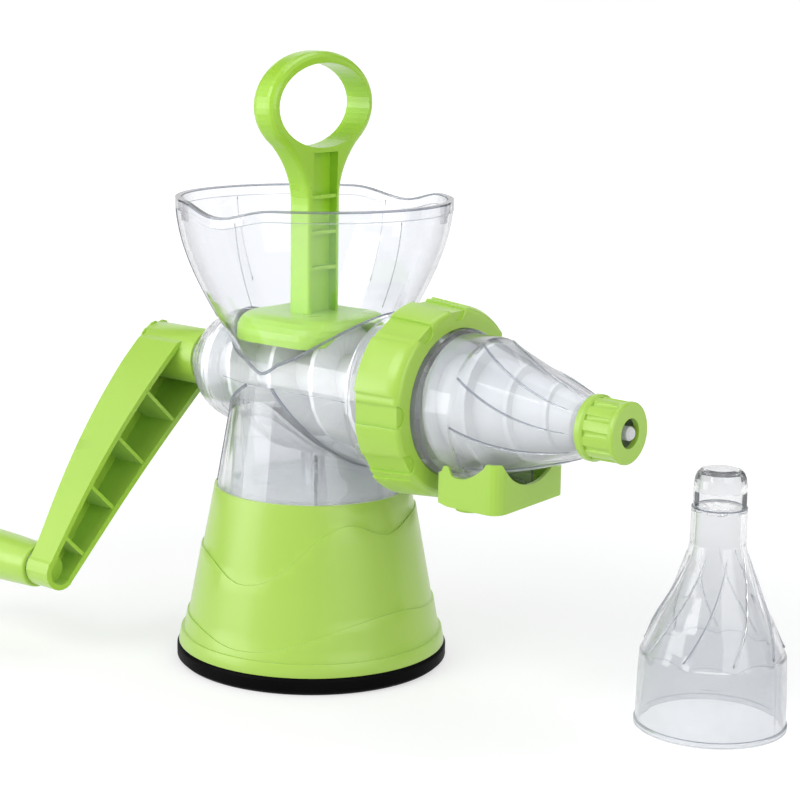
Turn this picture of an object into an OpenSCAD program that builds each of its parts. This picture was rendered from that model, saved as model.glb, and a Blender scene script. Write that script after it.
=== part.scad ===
/* [Body and hopper] */
// Height of the auger axis above the table
axis_z = 132.35; // [128:0.5:138]
// Outer radius of the straight barrel
barrel_r = 35; // [33.8:0.1:36.2]
// Wall of the clear mouldings
clear_wall = 2.5; // [2.1:0.1:2.8]
// Radius of the round rear end of the barrel
dome_r = 26.9; // [26:0.1:28]
// Radius of the hopper mouth
hopper_r = 63; // [60:0.5:66]
// Height of the hopper mouth above the table
hopper_top = 215; // [212:0.5:220]
// Depth of the scoop in each side of the mouth
mouth_dip = 4.8; // [0:0.1:6]
// Radius of the foot column where it leaves the skirt
column_r = 44.4; // [43.6:0.1:44.6]
// Inward lean of the foot column, radius lost per unit of height
column_lean = 0.17; // [0.12:0.01:0.2]
// Radius of the inner sleeve in the foot column
inner_sleeve_r = 33.7; // [31:0.1:35]

/* [Base] */
// Height of the rubber rim the skirt stands on
rim_z = 7.9; // [7:0.1:9]
// Radius of the rubber foot
foot_r = 63; // [62.6:0.1:66]
// Height of the top edge of the skirt
skirt_top = 82.3; // [81:0.1:84]
// Radius of the skirt at its top edge
skirt_r = 46; // [45.8:0.1:47]
// Outward flare of the skirt, radius gained per unit of height
skirt_flare = 0.185; // [0.17:0.005:0.2]
// Wall of the skirt
skirt_wall = 2.6; // [2.2:0.1:3]
// Height of each raised wave on the skirt
wave_step = 0.8; // [0.5:0.1:1.2]
// Lift of the suction stem when it is locked
stem_lift = 4; // [2:0.5:5]
// Radius of the threaded part of the suction stem
stem_r = 6; // [5:0.5:7]
// Thickness of the deck inside the skirt
deck_t = 3; // [2.5:0.5:4]
// Number of deck screws
deck_screw_count = 3; // [3:1:6]

/* [Auger and crank] */
// Radius of the drive shaft
shaft_r = 5; // [4.5:0.1:5.6]
// Gap between the auger flight and the bore
flight_gap = 1; // [0.6:0.1:1.6]
// Largest radius of the flight in the barrel
flight_max_r = 28; // [26:0.1:28.2]
// Thickness of the flight at its root
flight_t = 4; // [3:0.5:5]
// Distance between turns at the rear of the auger
pitch_rear = 30; // [26:1:36]
// Distance between turns at the front of the auger
pitch_front = 15; // [13:1:18]
// Radius of the pin at the front of the auger
pin_r = 3; // [2.5:0.1:3.6]
// Distance from the crank axis to the grip axis
crank_reach = 125.4; // [118:0.2:132]
// Angle of the crank below level
crank_angle = 46.1; // [-90:0.1:90]
// Half width of the arm at the hub
arm_half = 14.6; // [14:0.1:15]
// Half width of the arm at the grip
arm_tip_half = 8.5; // [8.2:0.1:9.5]
// Bow of the arm
arm_bow = 3.1; // [0:0.1:4]
// Wall of the arm
arm_wall = 2.6; // [2:0.1:3]
// Number of cross ribs in the arm
arm_rib_count = 4; // [2:1:5]
// Radius of the crank hub
hub_r = 13.4; // [13.2:0.1:14.5]
// Radius of the thumb knob
knob_r = 14.3; // [13.8:0.1:15.5]
// Thickness of the thumb knob
knob_t = 5.2; // [4.8:0.1:7]
// Number of scallops round the thumb knob
knob_scallops = 12; // [8:1:14]
// Radius of the grip at its middle
grip_r = 11.5; // [11:0.1:12.5]
// Length of the grip
grip_len = 76; // [70:1:90]
// Radius of the grip bolt
bolt_r = 4; // [3.5:0.1:4.5]

/* [Outlet] */
// Radius of the barrel collar
collar_r = 38.5; // [37.8:0.1:39]
// Outer radius of the lock ring
ring_r = 43; // [42.6:0.1:44.5]
// Length of the lock ring
ring_len = 23; // [21:0.5:25]
// Radius of the opening in the front of the lock ring
ring_open_r = 32.8; // [32:0.1:33.6]
// Width of each grip slot in the lock ring
slot_w = 10; // [8:0.5:12]
// Radius of the straight part of the outlet cone
cone_r = 31; // [30.6:0.1:31.4]
// Radius of the outlet cone where its neck starts
neck_r = 11.3; // [11:0.1:12]
// Number of spiral ribs on each cone
cone_rib_count = 9; // [6:1:10]
// Number of strainer slits under the cone
slit_count = 7; // [5:2:9]
// Radius of the pressure cap
cap_r = 12.9; // [12.7:0.1:13.4]
// Radius of the outlet hole in the cap
cap_hole_r = 6.35; // [5.5:0.05:7]
// Number of flutes round the cap
cap_flutes = 12; // [9:1:16]
// Half width of the juice tray
tray_half = 23; // [22:0.5:25]
// Length of the juice tray
tray_len = 33; // [31:0.5:36]
// Wall of the juice tray
tray_wall = 1.8; // [1.4:0.1:2.2]

/* [Pusher] */
// Half width of the finger hole
ring_hole_half = 29.5; // [27:0.5:31]
// Half height of the finger hole
ring_hole_high = 18.8; // [17:0.2:21]
// Depth of the finger ring
ring_depth = 14; // [12:0.5:16]
// Rim of the finger ring at its sides
ring_rim = 4.4; // [3.6:0.1:5]
// Rounding of the outer edges of the finger ring
ring_round = 4; // [2:0.1:4.5]
// Overall height of the press
overall_top = 280.4; // [276:0.4:286]
// Width of the pusher shaft
shaft_w = 20.4; // [18:0.2:22]
// Thickness of the pusher shaft
shaft_t = 12; // [10:0.5:13]
// Number of ribs across the recess in the shaft
shaft_rib_count = 3; // [2:1:4]
// Thickness of the pusher foot above the throat
foot_t = 12.2; // [12:0.1:15]
// Rounding of the upper edge of the pusher foot
foot_round = 9; // [4:0.5:10]

/* [Spare cone] */
// Distance of the spare cone to the front of the press
spare_x = 190.7; // [185:0.5:210]
// Distance of the spare cone to the side
spare_y = 47.2; // [40:0.2:60]
// Height of the spare cone
spare_h = 112.5; // [110:0.5:116]

/* [Clearances] */
// Running clearance of turning and sliding fits
fit_gap = 0.1; // [0.05:0.01:0.1]
// Clearance of pressed fits
press_gap = 0.03; // [0.01:0.01:0.05]
// Clearance between other curved faces
free_gap = 0.3; // [0.3:0.05:0.5]

/* [Hidden] */
$fn = 96;
lime = "yellowgreen";
over = 1;

// Curves shared by several pieces
function blend(t) = (1 - cos(180 * t)) / 2;
function clamp01(t) = max(0, min(1, t));
function arc_pts(cx, cy, r, a0, a1, n) =
    [for (i = [0:n]) [cx + r * cos(a0 + (a1 - a0) * i / n), cy + r * sin(a0 + (a1 - a0) * i / n)]];

// Barrel stations along the auger axis
dome_x = -40.7;
barrel_full_x = -4;
collar_x = 56;
barrel_end_x = 75;
rear_face_x = dome_x - dome_r;
dome_cut_x = rear_face_x + 1.6;
bore_r = barrel_r - clear_wall;
dome_bore_r = dome_r - clear_wall;

// Bore radius of the barrel at a station
function bore_at(x) =
    x < dome_x ? sqrt(max(1, dome_bore_r * dome_bore_r - (x - dome_x) * (x - dome_x)))
    : dome_bore_r + (bore_r - dome_bore_r) * blend(clamp01((x - dome_x) / (barrel_full_x - dome_x)));

// Outlet cone stations
seal_t = 1.5;
flange_t = 6.5;
cone_x0 = barrel_end_x + seal_t;
spigot_x = barrel_end_x - 9;
cone_straight_x = 105;
cone_end_x = 173;
neck_len = 16;
cone_tip_x = cone_end_x - neck_len;
cone_len = cone_tip_x - cone_straight_x;
cone_bow = 0.93;
cone_tip_r = neck_r + 1.4;
cone_wall = clear_wall - 0.3;
flange_r = collar_r - 0.8;
function cone_out(x) =
    x < cone_straight_x ? cone_r
    : cone_r - (cone_r - cone_tip_r) * pow(clamp01((x - cone_straight_x) / cone_len), cone_bow);
function cone_in(x) = cone_out(x) - cone_wall;

// Hopper and pusher stations
hopper_z0 = 143;
foot_z = 151;
foot_top = foot_z + foot_t;
hopper_h = hopper_top - hopper_z0;
hopper_foot_r = barrel_r - 0.5;
function hopper_out(z) =
    let (t = clamp01((z - hopper_z0) / hopper_h))
    hopper_foot_r + (hopper_r - 0.5 - hopper_foot_r) * pow(sin(90 * t), 1.1);

// Foot column stations
shoulder_z = skirt_top - 2.8;
sleeve_r = column_r - 2;
sleeve_z = 48;
post_r = 4.2;
post_hex_r = 3;
post_bottom = 52;
pin_top = 88;
column_z = 81.2;
function column_out(z) = column_r - column_lean * (z - column_z);

// Skirt stations
bearing_t = 3;
bead_top = rim_z + 5.9;
bead_step = 1.3;
deck_z = 29.5;
screw_ring_r = 46;
screw_boss_r = 4;
screw_boss_h = 14;
screw_r = 1.5;
screw_head_r = 3;
nut_r = 10;
nut_flange_r = 14;
function skirt_out(z) = skirt_r - 0.5 + skirt_flare * (skirt_top - z);

// Crank stations
hub_back_x = -103.3;
hub_front_x = rear_face_x - fit_gap;
arm_front_x = -76.5;
grip_face_x = -91.2;
washer_t = 1;
grip_boss_r = 6.2;
grip_boss_h = 8;
grip_boss_end = 1.5;
grip_x0 = grip_face_x - washer_t - fit_gap;
square_half = 3.5;
stub_r = 3;
arm_pitch = (crank_reach - 45.6) / 3;
arm_first_rib = 32.2;
arm_rib_t = 1.7;
arm_lean_from = 15;
arm_lean_to = crank_reach - 10.4;
arm_back_end = crank_reach - 0.4;
arm_lean_power = 1.2;
function arm_half_at(l) = arm_half - (arm_half - arm_tip_half) * pow(l / crank_reach, 2);
function arm_mid_at(l) = -arm_bow * sin(180 * clamp01(l / crank_reach));
function arm_back_at(l) =
    hub_back_x + (grip_face_x - hub_back_x)
        * pow(clamp01((l - arm_lean_from) / (arm_lean_to - arm_lean_from)), arm_lean_power);

// Lays a shape drawn about the Z axis along the auger axis
module on_axis() {
    translate([0, 0, axis_z]) rotate([0, 90, 0]) children();
}
// Revolves a profile of radius and station about the auger axis
module turned(points, steps = 96) {
    on_axis() rotate_extrude($fn = steps) polygon(points);
}
module tube(r_out, r_in, h) {
    difference() {
        cylinder(r = r_out, h = h);
        translate([0, 0, -over]) cylinder(r = r_in, h = h + 2 * over);
    }
}
module tube_x(x0, x1, r_out, r_in) {
    on_axis() translate([0, 0, x0]) tube(r_out, r_in, x1 - x0);
}
module rod_x(x0, x1, r) {
    on_axis() translate([0, 0, x0]) cylinder(r = r, h = x1 - x0);
}

// Rubber foot with a shallow vacuum cup underneath
module suction_foot() {
    color("dimgray")
    rotate_extrude() polygon([
        [0, 3.4], [38, 2.2], [54, 0.9], [56.5, 0], [foot_r - 1.6, 0], [foot_r, 1.5],
        [foot_r, rim_z - 1.6], [foot_r - 0.6, rim_z - 0.5], [foot_r - 1.4, rim_z],
        [54.5, rim_z], [53, rim_z - 1.4], [0, rim_z - 1.4]]);
}

// Stem that pulls the middle of the foot up
module suction_stem() {
    flange_z = rim_z - 1.4;
    disc_r = 28;
    color("whitesmoke") {
        translate([0, 0, flange_z]) cylinder(r = disc_r, h = 3);
        translate([0, 0, flange_z]) cylinder(r = stem_r + 2, h = deck_z - stem_lift - 1.5 - flange_z);
        translate([0, 0, flange_z]) cylinder(r = stem_r, h = 46 - flange_z);
        translate([0, 0, flange_z]) cylinder(r = post_hex_r - fit_gap, h = pin_top - flange_z, $fn = 6);
        for (i = [0:5])
            rotate([0, 0, 60 * i]) translate([0, -1, flange_z])
                cube([disc_r - 3, 2, 8]);
    }
}

// Height of the upper and lower wave lines across the skirt
function span(s, a, b, za, zb, skew) = za + (zb - za) * blend(pow(clamp01((s - a) / (b - a)), skew));
function upper_wave(s) =
    s < -31 ? span(s, -50, -31, 54, 45.1, 1)
    : s < 18.5 ? span(s, -31, 18.5, 45.1, 73.2, 1.15)
    : s < 36 ? span(s, 18.5, 36, 73.2, 66.8, 1)
    : span(s, 36, 49, 66.8, 73, 1);
function lower_wave(s) =
    s < -32 ? span(s, -58, -32, 22, 16.5, 1)
    : s < 41 ? span(s, -32, 41, 16.5, 32.3, 1)
    : span(s, 41, 62, 32.3, 27.5, 1);
wave_turn = 40.5;
wave_span = 68;
wave_steps = 34;
module below_wave(upper) {
    top = [for (i = [0:wave_steps])
        let (s = -wave_span + 2 * wave_span * i / wave_steps)
        [s, upper ? upper_wave(s) : lower_wave(s)]];
    rotate([0, 0, wave_turn]) rotate([90, 0, 0]) translate([0, 0, -wave_span])
        linear_extrude(2 * wave_span)
        polygon(concat([[-wave_span, rim_z], [wave_span, rim_z]], [for (i = [wave_steps:-1:0]) top[i]]));
}
module skirt_solid(extra, z_top) {
    rotate_extrude() polygon([[0, rim_z], [skirt_out(rim_z) + extra, rim_z],
        [skirt_out(z_top) + extra, z_top], [0, z_top]]);
}
// Lime skirt that turns to work the suction cup
module base_skirt() {
    bearing_z = shoulder_z - bearing_t;
    color(lime)
    difference() {
        union() {
            skirt_solid(0, skirt_top);
            intersection() {
                skirt_solid(wave_step, skirt_top - 3);
                below_wave(true);
            }
            intersection() {
                skirt_solid(2 * wave_step, 40);
                below_wave(false);
            }
            rotate_extrude() polygon([[0, rim_z], [skirt_out(rim_z) + 2 * wave_step + bead_step, rim_z],
                [skirt_out(bead_top) + 2 * wave_step + bead_step, bead_top], [0, bead_top + over]]);
        }
        difference() {
            rotate_extrude() polygon([[0, rim_z - over], [skirt_out(rim_z - over) - skirt_wall, rim_z - over],
                [skirt_out(bearing_z) - skirt_wall, bearing_z], [0, bearing_z]]);
            for (i = [0:deck_screw_count - 1])
                rotate([0, 0, 360 / deck_screw_count * i]) {
                    translate([screw_ring_r, 0, deck_z + deck_t]) cylinder(r = screw_boss_r, h = screw_boss_h);
                    translate([screw_ring_r, -1.2, deck_z + deck_t]) cube([12, 2.4, screw_boss_h]);
                }
        }
        translate([0, 0, bearing_z - over]) cylinder(r = sleeve_r + fit_gap, h = bearing_t + 2 * over);
        translate([0, 0, shoulder_z])
            cylinder(r1 = column_out(shoulder_z) + fit_gap, r2 = column_out(skirt_top + over) + fit_gap,
                h = skirt_top + over - shoulder_z);
        for (i = [0:deck_screw_count - 1])
            rotate([0, 0, 360 / deck_screw_count * i]) translate([screw_ring_r, 0, deck_z])
                cylinder(r = screw_r + press_gap, h = screw_boss_h);
    }
}
// Deck screwed under the bosses of the skirt
module skirt_deck() {
    color(lime)
    difference() {
        union() {
            translate([0, 0, deck_z])
                cylinder(r = skirt_out(deck_z + deck_t) - skirt_wall - free_gap, h = deck_t);
            for (i = [0:5])
                rotate([0, 0, 60 * i + 30]) translate([nut_r + 1, -1, deck_z - 4]) cube([24, 2, 5]);
        }
        translate([0, 0, deck_z - over]) cylinder(r = nut_r + press_gap, h = deck_t + 2 * over);
        for (i = [0:deck_screw_count - 1])
            rotate([0, 0, 360 / deck_screw_count * i]) translate([screw_ring_r, 0, deck_z - over])
                cylinder(r = screw_r + press_gap, h = deck_t + 2 * over);
    }
}
module deck_screws() {
    color("silver")
    for (i = [0:deck_screw_count - 1])
        rotate([0, 0, 360 / deck_screw_count * i]) translate([screw_ring_r, 0, 0])
            difference() {
                union() {
                    translate([0, 0, deck_z - 2]) cylinder(r = screw_head_r, h = 2);
                    translate([0, 0, deck_z - 2]) cylinder(r = screw_r, h = 14);
                }
                translate([-2, -0.4, deck_z - 2 - over]) cube([4, 0.8, 1 + over]);
                translate([-0.4, -2, deck_z - 2 - over]) cube([0.8, 4, 1 + over]);
            }
}
// Threaded bush the stem climbs in
module stem_nut() {
    color("whitesmoke")
    difference() {
        union() {
            translate([0, 0, deck_z]) cylinder(r = nut_r, h = 14);
            translate([0, 0, deck_z + deck_t]) cylinder(r = nut_flange_r, h = 2.5);
        }
        translate([0, 0, deck_z - over]) cylinder(r = stem_r + fit_gap, h = 14 + 2 * over);
    }
}

// Clear barrel, hopper and foot column in one moulding
module barrel_outside() {
    steps = 14;
    half = acos((dome_x - dome_cut_x) / dome_r);
    turned(concat(
        [[0, dome_cut_x]],
        arc_pts(0, dome_x, dome_r, -90 + half, 0, steps),
        [for (i = [1:10]) let (x = dome_x + (barrel_full_x - dome_x) * i / 10)
            [dome_r + (barrel_r - dome_r) * blend(i / 10), x]],
        [[barrel_r, collar_x - 6], [barrel_r + 0.8, collar_x - 3], [collar_r, collar_x],
         [collar_r, barrel_end_x], [0, barrel_end_x]]));
}
module barrel_inside() {
    steps = 14;
    turned(concat(
        arc_pts(0, dome_x, dome_bore_r, -90, 0, steps),
        [for (i = [1:10]) let (x = dome_x + (barrel_full_x - dome_x) * i / 10)
            [dome_bore_r + (bore_r - dome_bore_r) * blend(i / 10), x]],
        [[bore_r, barrel_end_x + over], [0, barrel_end_x + over]]));
}
module hopper_solid(inset, z_from, z_to) {
    steps = 16;
    rotate_extrude() polygon(concat(
        [[0, z_from], [hopper_out(hopper_z0) - inset, z_from]],
        [for (i = [0:steps]) let (z = hopper_z0 + hopper_h * i / steps)
            [hopper_out(z) - inset, i == steps ? z_to : z]],
        [[0, z_to]]));
}
dip_half = 28;
function mouth_z(x) = hopper_top - mouth_dip * blend(1 - min(1, abs(x) / dip_half));
// Band between two levels that follow the scoops of the mouth
module mouth_band(below, above) {
    n = 16;
    xs = [for (i = [0:n]) -dip_half + 2 * dip_half * i / n];
    ends = [-hopper_r - over, hopper_r + over];
    rotate([90, 0, 0]) translate([0, 0, -hopper_r - over])
        linear_extrude(2 * (hopper_r + over))
        polygon(concat(
            [[ends[0], hopper_top + above], [ends[1], hopper_top + above], [ends[1], hopper_top - below]],
            [for (i = [n:-1:0]) [xs[i], mouth_z(xs[i]) - below]],
            [[ends[0], hopper_top - below]]));
}
module press_body() {
    hopper_wall = clear_wall - 0.3;
    lip_h = 4.7;
    rib_wall = 1.5;
    column_ribs = 4;
    inner_sleeve_z = 68;
    column_rib_h = 24;
    color("lightcyan")
    difference() {
        union() {
            difference() {
                union() {
                    translate([0, 0, shoulder_z])
                        cylinder(r1 = column_out(shoulder_z), r2 = column_out(axis_z), h = axis_z - shoulder_z);
                    translate([0, 0, sleeve_z]) cylinder(r = sleeve_r, h = shoulder_z - sleeve_z + over);
                    translate([0, 0, shoulder_z - bearing_t - free_gap - 3])
                        cylinder(r = sleeve_r + 0.8, h = 3);
                }
                translate([0, 0, sleeve_z - over])
                    cylinder(r = sleeve_r - clear_wall, h = shoulder_z - sleeve_z + 1.5 * over);
                translate([0, 0, shoulder_z])
                    cylinder(r1 = sleeve_r - clear_wall, r2 = column_out(axis_z) - clear_wall,
                        h = axis_z - shoulder_z + over);
            }
            translate([0, 0, inner_sleeve_z])
                tube(inner_sleeve_r, inner_sleeve_r - rib_wall, axis_z - inner_sleeve_z);
            translate([0, 0, shoulder_z]) tube(sleeve_r - 1, post_hex_r + 0.6, rib_wall);
            for (i = [0:column_ribs - 1])
                rotate([0, 0, 360 / column_ribs * (i + 0.5)])
                    translate([post_r - 1, -rib_wall / 2, shoulder_z])
                    cube([sleeve_r - post_r - 1, rib_wall, column_rib_h]);
            translate([0, 0, post_bottom])
                difference() {
                    cylinder(r = post_r, h = axis_z - post_bottom);
                    translate([0, 0, -over])
                        cylinder(r = post_hex_r, h = pin_top + stem_lift + 2 - post_bottom, $fn = 6);
                }
            barrel_outside();
            tube_x(rear_face_x, dome_x, 12, shaft_r + 1);
            hopper_solid(0, axis_z, hopper_top);
            intersection() {
                translate([0, 0, hopper_top - lip_h - mouth_dip])
                    cylinder(r = hopper_r, h = lip_h + mouth_dip);
                mouth_band(lip_h, over);
            }
        }
        difference() {
            barrel_inside();
            rod_x(rear_face_x - over, rear_face_x + 11.6, 10);
        }
        hopper_solid(hopper_wall, axis_z + 1, hopper_top + over);
        rod_x(rear_face_x - over, rear_face_x + 12, rear_bush_r + press_gap);
        mouth_band(0, 2 * over);
    }
}

rear_bush_r = 7;
bush_flange_x = rear_face_x + 11.6;
// Bush that carries the drive shaft in the rear of the barrel
module rear_bush() {
    color("whitesmoke") {
        tube_x(rear_face_x, bush_flange_x + 0.5, rear_bush_r, shaft_r + fit_gap);
        tube_x(bush_flange_x, bush_flange_x + 1.5, rear_bush_r + 2, shaft_r + fit_gap);
    }
}
// Seal between the bush and the auger
module shaft_seal() {
    color("gainsboro") tube_x(bush_flange_x + 1.5, auger_x0, rear_bush_r + 2, shaft_r + press_gap);
}
// Gasket clamped between the barrel and the cone
module front_seal() {
    color("gainsboro") tube_x(barrel_end_x, cone_x0, flange_r, bore_r + 0.4);
}

auger_x0 = -53;
socket_x = -20;
auger_disc_x = -49;
core_rear_r = 11;
core_front_r = 21;
flight_x0 = auger_disc_x - 1;
flight_x1 = cone_tip_x - 7;
core_swell_x0 = 40;
core_swell_x1 = 84;
function core_at(x) =
    x < core_swell_x0 ? core_rear_r + 2 * clamp01((x - auger_disc_x) / (core_swell_x0 - auger_disc_x))
    : x < core_swell_x1
    ? core_rear_r + 2
        + (core_front_r - core_rear_r - 2) * blend((x - core_swell_x0) / (core_swell_x1 - core_swell_x0))
    : x < cone_straight_x ? core_front_r + 2.5 * (x - core_swell_x1) / (cone_straight_x - core_swell_x1)
    : min(core_front_r + 2.5, cone_in(x) - 1.5 - 4 * clamp01((flight_x1 - x) / (flight_x1 - cone_straight_x)));
function flight_out(x) =
    min(flight_max_r, bore_at(x) - flight_gap, cone_in(min(x, cone_tip_x)) - flight_gap);
function pitch_at(x) = pitch_rear
    + (pitch_front - pitch_rear) * clamp01((x - auger_disc_x) / (flight_x1 - auger_disc_x));
// Station reached after a number of steps of the flight
flight_step = 15;
function stations(x, out) = x >= flight_x1 ? out
    : stations(x + pitch_at(x) * flight_step / 360, concat(out, [x]));
flight_stations = stations(flight_x0, []);
// One flight swept as a helix whose edge follows the bore
module flight() {
    n = len(flight_stations);
    points = [for (i = [0:n - 1])
        let (x = flight_stations[i], a = i * flight_step, rise = clamp01(i / 6) * clamp01((n - 1 - i) / 4),
             ri = core_at(x) - 1.5, ro = max(ri + 1.8, ri + (flight_out(x) - ri) * rise),
             tr = flight_t / 2, to = tr * 0.55)
        each [[ri * cos(a), ri * sin(a), x - tr], [ro * cos(a), ro * sin(a), x - to],
              [ro * cos(a), ro * sin(a), x + to], [ri * cos(a), ri * sin(a), x + tr]]];
    sides = [for (i = [0:n - 2]) for (k = [0:3])
        let (a = 4 * i + k, b = 4 * i + (k + 1) % 4)
        each [[a, b, b + 4], [a, b + 4, a + 4]]];
    end = 4 * n - 4;
    on_axis() polyhedron(points, concat(sides, [[3, 2, 1, 0]], [[end, end + 1, end + 2, end + 3]]));
}
// Auger that carries the food to the cone and squeezes it
module auger() {
    n = 24;
    color("white")
    difference() {
        union() {
            turned(concat(
                [[0, auger_x0], [20, auger_x0], [20, auger_disc_x], [core_rear_r, auger_disc_x]],
                [for (i = [0:n]) let (x = auger_disc_x + (flight_x1 + 3 - auger_disc_x) * i / n)
                    [core_at(x), x]],
                [[6, flight_x1 + 9], [5.6, cap_x1 - 8], [pin_r, cap_x1 - 6.5], [pin_r, cap_x1],
                 [pin_r - 0.8, cap_x1 + 1], [0, cap_x1 + 1]]));
            flight();
        }
        rod_x(auger_x0 - over, socket_x, shaft_r + press_gap);
    }
}
// Steel shaft moulded into the auger, square where the crank fits
module drive_shaft() {
    color("silver") {
        rod_x(rear_face_x, socket_x - 0.5, shaft_r);
        translate([hub_back_x + 2, -square_half, axis_z - square_half])
            cube([rear_face_x - hub_back_x - 2 + 3, 2 * square_half, 2 * square_half]);
        rod_x(hub_back_x - knob_t + 1.4, hub_back_x + 3, stub_r);
    }
}

// Lays a shape in the frame of the crank arm, Y along the arm
module arm_frame() {
    translate([0, 0, axis_z]) rotate([180 + crank_angle, 0, 0]) children();
}
module arm_solid(inset) {
    n = 14;
    edge_from = 4;
    hub_end_r = hub_r - 1.5;
    end_r = arm_tip_half + 0.3;
    edge = [for (i = [0:n]) edge_from + (crank_reach - edge_from) * i / n];
    intersection() {
        translate([hub_back_x - over, 0, 0]) rotate([90, 0, 90])
            linear_extrude(arm_front_x - hub_back_x + over + (inset > 0 ? over : 0))
            polygon(concat(
                [for (l = edge) [l, arm_mid_at(l) + arm_half_at(l) - inset]],
                arc_pts(crank_reach, 0, end_r - inset, 80, -80, 10),
                [for (i = [n:-1:0]) [edge[i], arm_mid_at(edge[i]) - arm_half_at(edge[i]) + inset]],
                arc_pts(0, 0, hub_end_r - inset, 260, 100, 12)));
        translate([0, 0, -30]) linear_extrude(60)
            polygon(concat(
                [[arm_front_x + over, -20], [arm_back_at(0) + inset, -20]],
                [for (i = [0:n]) let (l = arm_back_end * i / n) [arm_back_at(l) + inset, l]],
                [[grip_face_x + inset, crank_reach + 20], [arm_front_x + over, crank_reach + 20]]));
    }
}
// Hollow crank arm, open towards the barrel
module crank_arm() {
    square_hole = 2 * (square_half + fit_gap);
    color(lime)
    difference() {
        union() {
            arm_frame() {
                difference() {
                    arm_solid(0);
                    arm_solid(arm_wall);
                }
                intersection() {
                    arm_solid(0.6);
                    for (i = [0:arm_rib_count - 1])
                        translate([hub_back_x, arm_first_rib - arm_rib_t / 2 + arm_pitch * i, -20])
                            cube([arm_front_x - hub_back_x - 0.6, arm_rib_t, 40]);
                }
            }
            rod_x(hub_back_x, hub_front_x, hub_r);
            grip_axis() translate([0, 0, grip_face_x]) cylinder(r = grip_boss_r, h = grip_boss_h);
        }
        translate([hub_back_x - over, -square_hole / 2, axis_z - square_hole / 2])
            cube([hub_front_x - hub_back_x + 2 * over, square_hole, square_hole]);
        grip_axis() translate([0, 0, grip_face_x - over])
            cylinder(r = bolt_r - 1 + press_gap, h = grip_boss_h - grip_boss_end + over);
    }
}
// Lays a shape drawn about the Z axis along the grip axis
module grip_axis() {
    arm_frame() translate([0, crank_reach, 0]) rotate([0, 90, 0]) children();
}
// Scalloped knob that holds the crank on the shaft
module crank_knob() {
    color(lime)
    difference() {
        turned([
            [stub_r + fit_gap, hub_back_x], [knob_r - 0.4, hub_back_x], [knob_r, hub_back_x - 0.4],
            [knob_r - 0.2, hub_back_x - 1], [knob_r - 1.6, hub_back_x - 0.4 * knob_t],
            [knob_r - 3.2, hub_back_x - 0.7 * knob_t], [knob_r - 5, hub_back_x - knob_t + 0.3],
            [0, hub_back_x - knob_t], [0, hub_back_x - knob_t + 1],
            [stub_r + fit_gap, hub_back_x - knob_t + 1]]);
        for (i = [0:knob_scallops - 1])
            on_axis() rotate([0, 0, 360 / knob_scallops * i])
                translate([knob_r + 1.4, 0, hub_back_x - knob_t - over])
                cylinder(r = 2.6, h = knob_t + 2 * over, $fn = 24);
    }
}
module grip_washer() {
    washer_r = 8.5;
    color("silver") grip_axis()
        translate([0, 0, grip_face_x - washer_t]) tube(washer_r, bolt_r - 1 + press_gap, washer_t);
}
grip_recess = 5;
grip_end_x = grip_x0 - grip_len;
module grip_bolt() {
    color("silver") grip_axis() {
        translate([0, 0, grip_face_x - washer_t])
            cylinder(r = bolt_r - 1, h = washer_t + grip_boss_h - grip_boss_end - 0.5);
        difference() {
            union() {
                translate([0, 0, grip_end_x + grip_recess - 3])
                    cylinder(r = bolt_r, h = grip_face_x - washer_t - grip_end_x - grip_recess + 3);
                translate([0, 0, grip_end_x + grip_recess - 3]) cylinder(r = bolt_r + 2.5, h = 3 - fit_gap);
            }
            translate([0, 0, grip_end_x + grip_recess - 3 - over]) cylinder(r = 2.5, h = 2 + over, $fn = 6);
        }
    }
}
// Grip that turns on its bolt
module crank_grip() {
    color(lime) grip_axis()
    rotate_extrude() polygon([
        [bolt_r + fit_gap, grip_x0], [grip_r - 1.7, grip_x0], [grip_r - 1.2, grip_x0 - 0.8],
        [grip_r - 0.9, grip_x0 - 6], [grip_r - 0.3, grip_x0 - 20],
        [grip_r, grip_x0 - 34], [grip_r, grip_x0 - 44],
        [grip_r - 0.6, grip_end_x + 14], [grip_r - 1.6, grip_end_x + 4], [grip_r - 2.6, grip_end_x + 1.4],
        [grip_r - 4.2, grip_end_x], [bolt_r + 3, grip_end_x], [bolt_r + 3, grip_end_x + grip_recess],
        [bolt_r + fit_gap, grip_end_x + grip_recess]]);
}

// Spiral rib laid along the outside of a cone
rib_h = 1.1;
rib_w = 1;
cone_rib_from = 35.5;
cone_rib_to = 76.5;
function rib_crest(t) = rib_h * sin(180 * (0.04 + 0.92 * t));
module cone_rib(x0, x1, a0, a1) {
    n = 12;
    root = 1;
    points = [for (i = [0:n])
        let (t = i / n, x = x0 + (x1 - x0) * t, a = a0 + (a1 - a0) * (1 - pow(1 - t, 1.4)),
             r = cone_out(x), d = rib_w / r * 90 / PI, c = r + rib_crest(t))
        each [[(r - root) * cos(a - d), (r - root) * sin(a - d), x],
              [c * cos(a), c * sin(a), x],
              [(r - root) * cos(a + d), (r - root) * sin(a + d), x]]];
    sides = [for (i = [0:n - 1]) for (k = [0:2])
        let (a = 3 * i + k, b = 3 * i + (k + 1) % 3)
        each [[a, a + 3, b + 3], [a, b + 3, b]]];
    polyhedron(points, concat(sides, [[0, 1, 2]], [[3 * n + 2, 3 * n + 1, 3 * n]]));
}
module cone_ribs(x0, x1) {
    for (i = [0:cone_rib_count - 1])
        rotate([0, 0, 360 / cone_rib_count * i]) cone_rib(x0, x1, cone_rib_from, cone_rib_to);
}
rail_y = 17;
rail_t = 1.5;
rail_z = 98;
lip_w = 3;
rail_x0 = 96;
rail_x1 = 114;
slit_x0 = 96;
slit_len = 18;
slit_w = 1;
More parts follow.
